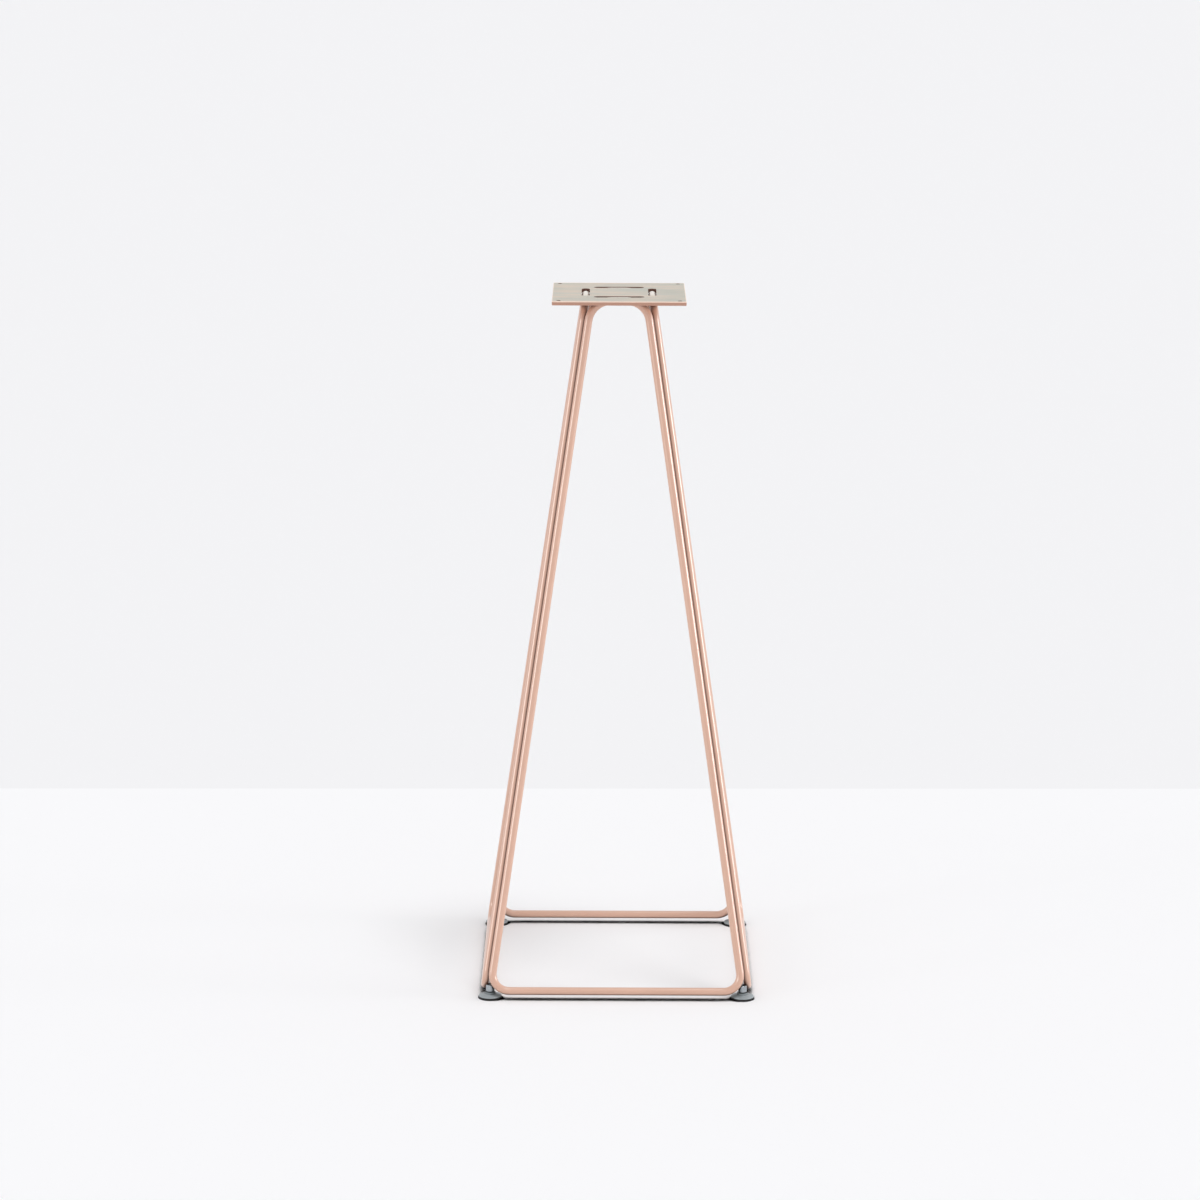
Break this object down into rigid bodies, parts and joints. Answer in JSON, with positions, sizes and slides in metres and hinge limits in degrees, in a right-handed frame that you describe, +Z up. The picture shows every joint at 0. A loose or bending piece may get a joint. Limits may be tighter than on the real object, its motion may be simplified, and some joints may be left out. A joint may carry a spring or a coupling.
{
  "type": "bar table base",
  "caption": "Bar-height table base: leaning loops of bent round rod welded into a slotted square top plate, standing on levelling feet.",
  "frame": {"origin": "on the floor, under the middle of the top plate", "axes": "+Z up, front loop towards -Y, +X to the right seen from the front"},
  "size_m": [0.417, 0.417, 1.05],
  "materials": {
    "frame_coat": "satin powder coat",
    "plate": "satin upper face, coated edges",
    "plated_steel": "bright zinc plate",
    "glide_plastic": "moulded"
  },
  "bodies": {
    "frame": {"top_plate": "plate", "front_loop": "frame_coat", "right_loop": "frame_coat", "rear_loop": "frame_coat", "left_loop": "frame_coat", "foot_bush_front_left": "plated_steel", "foot_bush_front_right": "plated_steel", "foot_bush_rear_left": "plated_steel", "foot_bush_rear_right": "plated_steel"},
    "foot_front_left": {"levelling_stud_front_left": "plated_steel", "glide_disc_front_left": "glide_plastic"},
    "foot_front_right": {"levelling_stud_front_right": "plated_steel", "glide_disc_front_right": "glide_plastic"},
    "foot_rear_left": {"levelling_stud_rear_left": "plated_steel", "glide_disc_rear_left": "glide_plastic"},
    "foot_rear_right": {"levelling_stud_rear_right": "plated_steel", "glide_disc_rear_right": "glide_plastic"}
  },
  "joints": [
    {"name": "foot_front_left_level", "type": "slide", "parent": "frame", "child": "foot_front_left", "axis": [0, 0, -1], "range_m": [0, 0.006]},
    {"name": "foot_front_right_level", "type": "slide", "parent": "frame", "child": "foot_front_right", "axis": [0, 0, -1], "range_m": [0, 0.006]},
    {"name": "foot_rear_left_level", "type": "slide", "parent": "frame", "child": "foot_rear_left", "axis": [0, 0, -1], "range_m": [0, 0.006]},
    {"name": "foot_rear_right_level", "type": "slide", "parent": "frame", "child": "foot_rear_right", "axis": [0, 0, -1], "range_m": [0, 0.006]}
  ]
}
